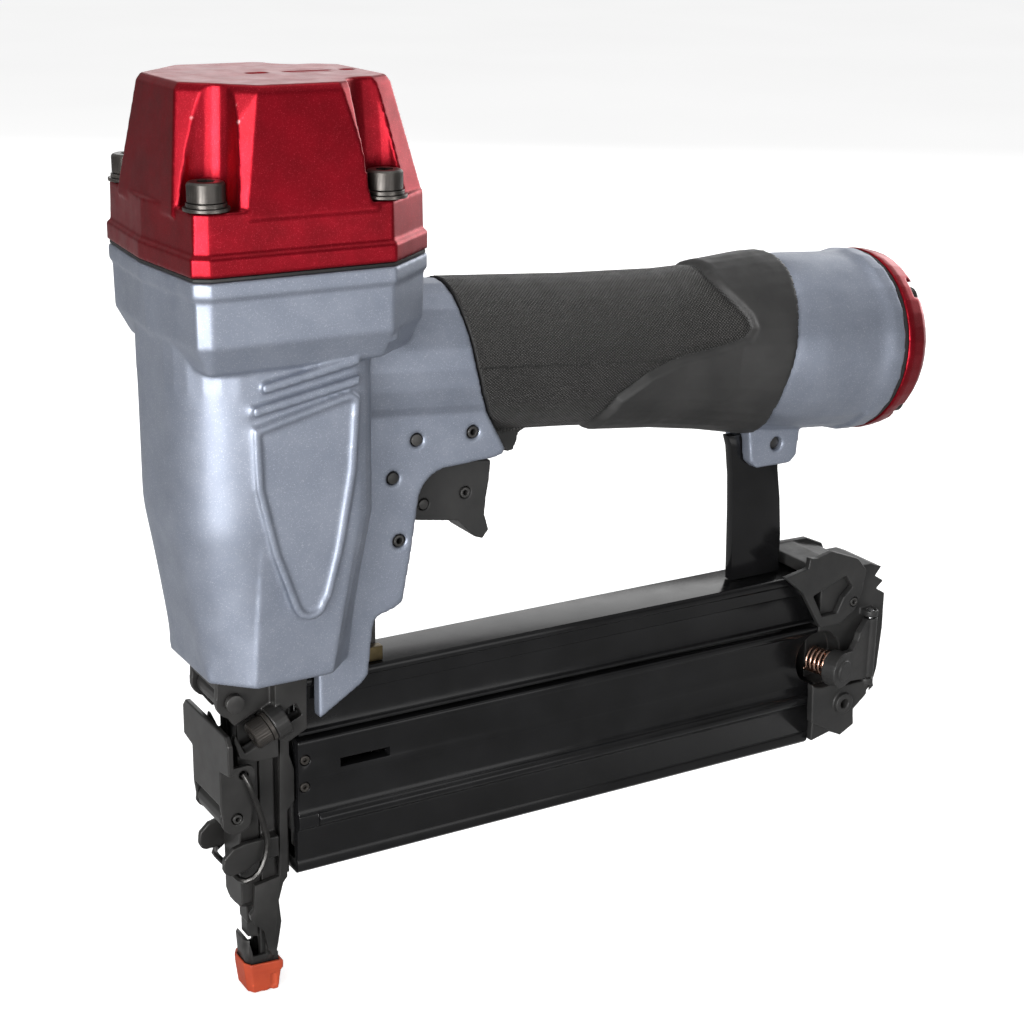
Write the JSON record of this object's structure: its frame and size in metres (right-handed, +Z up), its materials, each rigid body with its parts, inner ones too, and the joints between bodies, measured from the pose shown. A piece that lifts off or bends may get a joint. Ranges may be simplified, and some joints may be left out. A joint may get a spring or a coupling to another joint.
{
  "type": "pneumatic brad nailer",
  "caption": "Pneumatic brad nailer: red top cap on a silver cylinder, rubber grip, guarded trigger, slide-open magazine under the handle, quick-release nose and orange nose pad.",
  "frame": {"origin": "on the drive axis at the lower face of the nose pad, where the tool meets the work", "axes": "+Z up along the drive axis towards the cylinder cap, +X from the nose to the air inlet at the handle's rear, -Y the operator's left"},
  "size_m": [0.2275, 0.0592, 0.238],
  "materials": {
    "paint_red": "satin metallic",
    "cast_silver": "satin",
    "black_rail": "black anodised",
    "black_plastic": "matte",
    "gunmetal": "black oxide",
    "steel": "satin",
    "grip_rubber": "fine knurl",
    "seal": "matte",
    "orange_pad": "matte",
    "brass": "satin",
    "copper_wire": "copper plated"
  },
  "bodies": {
    "tool_body": {"housing": "cast_silver", "cap_gasket": "seal", "cylinder_cap": "paint_red", "cap_screw_1": "gunmetal", "cap_screw_2": "gunmetal", "cap_screw_3": "gunmetal", "cap_screw_4": "gunmetal", "head_valve_spring": "steel", "cylinder_sleeve": "steel", "bumper": "seal", "grip_sleeve": "grip_rubber", "end_cap_gasket": "seal", "end_cap": "paint_red", "end_cap_screw_1": "gunmetal", "end_cap_screw_2": "gunmetal", "end_cap_screw_3": "gunmetal", "end_cap_screw_4": "gunmetal", "air_inlet_bush": "brass", "trigger_valve_body": "brass", "trigger_valve_spring": "steel", "valve_pin_front": "gunmetal", "valve_pin_rear": "gunmetal", "trigger_pivot_pin": "gunmetal", "arm_guide_pin": "gunmetal", "nose_body": "gunmetal", "nose_screw_near": "gunmetal", "nose_screw_far": "gunmetal", "door_hinge_pin": "gunmetal", "magazine_rail": "black_rail", "arm_guide": "brass", "magazine_strap": "black_rail", "strap_bolt": "gunmetal", "magazine_guard": "black_plastic", "guard_pin_near": "gunmetal", "guard_pin_far": "gunmetal", "contact_spring": "steel"},
    "driver": {"piston": "steel", "piston_ring": "seal", "driver_blade": "steel"},
    "head_valve": {"head_valve": "seal"},
    "trigger": {"trigger": "black_plastic", "trip_lever_pin": "gunmetal", "trigger_stop_pin": "gunmetal"},
    "trip_lever": {"trip_lever": "gunmetal"},
    "valve_stem": {"trigger_valve_stem": "steel"},
    "contact_arm": {"contact_arm": "gunmetal", "nose_pad": "orange_pad"},
    "nose_door": {"nose_door": "gunmetal", "latch_pin": "gunmetal"},
    "door_latch": {"door_latch": "gunmetal"},
    "wire_bail": {"wire_bail": "gunmetal"},
    "magazine_cover": {"magazine_cover": "black_rail", "cover_screw_1": "steel", "cover_screw_2": "steel", "cover_end_block": "black_plastic", "release_pin": "steel", "release_spring": "copper_wire"},
    "release_lever": {"release_lever": "black_plastic"},
    "pusher": {"pusher": "gunmetal", "pusher_spring_coil": "steel"}
  },
  "joints": [
    {"name": "driver_stroke", "type": "slide", "parent": "tool_body", "child": "driver", "axis": [0, 0, -1], "range_m": [0, 0.082]},
    {"name": "head_valve_lift", "type": "slide", "parent": "tool_body", "child": "head_valve", "axis": [0, 0, 1], "range_m": [0, 0.004], "stiffness_N_per_m": 400, "springref_m": -0.002, "deforming": ["head_valve_spring"]},
    {"name": "trigger_pull", "type": "hinge", "parent": "tool_body", "child": "trigger", "pos_m": [0.0333, 0, 0.1394], "axis": [0, -1, 0], "range_deg": [0, 8], "stiffness_Nm_per_rad": 0.6, "springref_deg": -5.73},
    {"name": "valve_stem_lift", "type": "slide", "parent": "tool_body", "child": "valve_stem", "axis": [0, 0, 1], "range_m": [0, 0.0032], "deforming": ["trigger_valve_spring"]},
    {"name": "contact_slide", "type": "slide", "parent": "tool_body", "child": "contact_arm", "axis": [0, 0, 1], "range_m": [0, 0.005], "stiffness_N_per_m": 2500, "springref_m": -0.005, "deforming": ["contact_spring"]},
    {"name": "trip_lever_swing", "type": "hinge", "parent": "trigger", "child": "trip_lever", "pos_m": [0.0574, 0, 0.1304], "axis": [0, 1, 0], "range_deg": [0, 11.2]},
    {"name": "nose_door_swing", "type": "hinge", "parent": "tool_body", "child": "nose_door", "pos_m": [-0.0095, 0, 0.0865], "axis": [0, 1, 0], "range_deg": [0, 75]},
    {"name": "door_latch_swing", "type": "hinge", "parent": "nose_door", "child": "door_latch", "pos_m": [-0.0094, 0, 0.0544], "axis": [0, -1, 0], "range_deg": [0, 100]},
    {"name": "bail_swing", "type": "hinge", "parent": "door_latch", "child": "wire_bail", "pos_m": [-0.0073, 0, 0.0662], "axis": [0, -1, 0], "range_deg": [-105, 0]},
    {"name": "magazine_slide", "type": "slide", "parent": "tool_body", "child": "magazine_cover", "axis": [1, 0, 0], "range_m": [0, 0.115]},
    {"name": "release_press", "type": "hinge", "parent": "magazine_cover", "child": "release_lever", "pos_m": [0.1947, -0.011, 0], "axis": [0, 0, -1], "range_deg": [0, 6], "stiffness_Nm_per_rad": 0.5, "springref_deg": -8.59},
    {"name": "pusher_slide", "type": "slide", "parent": "magazine_cover", "child": "pusher", "axis": [1, 0, 0], "range_m": [0, 0.13], "stiffness_N_per_m": 20, "springref_m": -0.05}
  ],
  "couplings": [
    {"joint": "valve_stem_lift", "follows": "trigger_pull", "m_per_rad": 0.0229},
    {"joint": "trip_lever_swing", "follows": "contact_slide", "rad_per_m": 38.6},
    {"joint": "bail_swing", "follows": "door_latch_swing", "ratio": -1}
  ]
}
